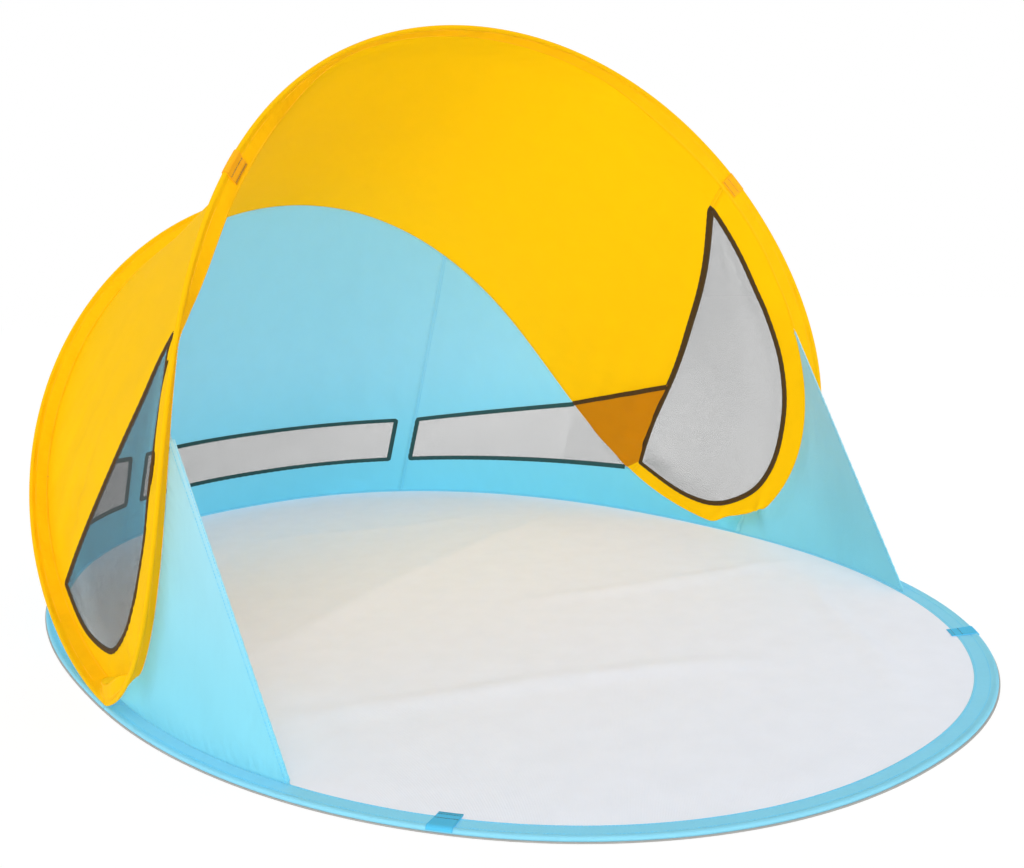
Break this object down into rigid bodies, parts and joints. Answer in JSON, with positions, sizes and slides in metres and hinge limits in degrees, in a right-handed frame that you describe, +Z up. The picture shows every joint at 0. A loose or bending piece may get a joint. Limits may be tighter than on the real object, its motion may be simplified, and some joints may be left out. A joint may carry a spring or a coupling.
{
  "type": "pop-up beach tent",
  "caption": "Low pop-up beach tent: saddle-shaped canopy on sprung wire arches, mesh windows, sewn floor with an open porch, leaves that fold together about the feet.",
  "frame": {"origin": "centre of the floor on the ground, midway between the floor's front and rear ends", "axes": "+X to the right of someone who stands before the entrance looking in, -Y out of the entrance over the porch, +Z up; left and right in node names are that person's too"},
  "size_m": [1.3796, 1.8993, 0.9708],
  "materials": {
    "yellow_polyester": "yellow polyester taffeta, coated, slightly see-through",
    "blue_polyester": "light blue polyester taffeta, coated",
    "floor_tarpaulin": "pale grey woven polyethylene tarpaulin",
    "window_net": "grey polyester mosquito mesh, fine enough to look solid",
    "amber_net": "amber net and stitching on the yellow cloth",
    "teal_binding": "dark teal woven binding tape",
    "brown_binding": "dark brown woven binding tape",
    "blue_webbing": "light blue woven webbing",
    "spring_steel": "drawn spring steel wire, bare"
  },
  "bodies": {
    "rear_leaf": {"back_binding_centre": "teal_binding", "back_binding_left": "teal_binding", "back_binding_right": "teal_binding", "back_wall_centre": "blue_polyester", "back_wall_left": "blue_polyester", "back_wall_right": "blue_polyester", "back_window_centre": "window_net", "back_window_left": "window_net", "back_window_right": "window_net", "canopy_hoop_ferrule": "spring_steel", "canopy_roof": "yellow_polyester", "floor_hoop_ferrule": "spring_steel", "left_canopy_side": "yellow_polyester", "left_corner_binding": "brown_binding", "left_foot_sleeve": "yellow_polyester", "left_foot_wire": "spring_steel", "left_net_corner": "amber_net", "left_side_binding": "brown_binding", "left_side_window": "window_net", "rear_arch_sleeve": "yellow_polyester", "rear_arch_wire": "spring_steel", "rear_floor_panel": "floor_tarpaulin", "rear_floor_sleeve": "blue_polyester", "rear_floor_wire": "spring_steel", "rear_peg_tab_left": "blue_webbing", "rear_peg_tab_right": "blue_webbing", "right_canopy_side": "yellow_polyester", "right_corner_binding": "brown_binding", "right_foot_sleeve": "yellow_polyester", "right_foot_wire": "spring_steel", "right_net_corner": "amber_net", "right_side_binding": "brown_binding", "right_side_window": "window_net"},
    "front_arch": {"front_arch_wire": "spring_steel", "front_arch_sleeve": "yellow_polyester", "left_arch_loop": "amber_net", "right_arch_loop": "amber_net", "left_entrance_gusset": "blue_polyester", "right_entrance_gusset": "blue_polyester"},
    "front_floor": {"front_floor_wire": "spring_steel", "front_floor_sleeve": "blue_polyester", "front_floor_panel": "floor_tarpaulin", "front_peg_tab_left": "blue_webbing", "front_peg_tab_right": "blue_webbing"}
  },
  "joints": [
    {"name": "front_arch_fold", "type": "hinge", "parent": "rear_leaf", "child": "front_arch", "pos_m": [0, -0.117, 0.0073], "axis": [-1, 0, 0], "range_deg": [0, 34], "stiffness_Nm_per_rad": 2, "springref_deg": -28.65, "deforming": ["canopy_roof", "left_canopy_side", "left_side_window", "left_side_binding", "left_net_corner", "left_corner_binding", "left_foot_wire", "left_foot_sleeve", "right_canopy_side", "right_side_window", "right_side_binding", "right_net_corner", "right_corner_binding", "right_foot_wire", "right_foot_sleeve"]},
    {"name": "front_floor_fold", "type": "hinge", "parent": "front_arch", "child": "front_floor", "pos_m": [0, -0.117, 0.0073], "axis": [-1, 0, 0], "range_deg": [0, 28], "stiffness_Nm_per_rad": 1, "springref_deg": -17.19, "deforming": ["left_entrance_gusset", "right_entrance_gusset"]}
  ]
}
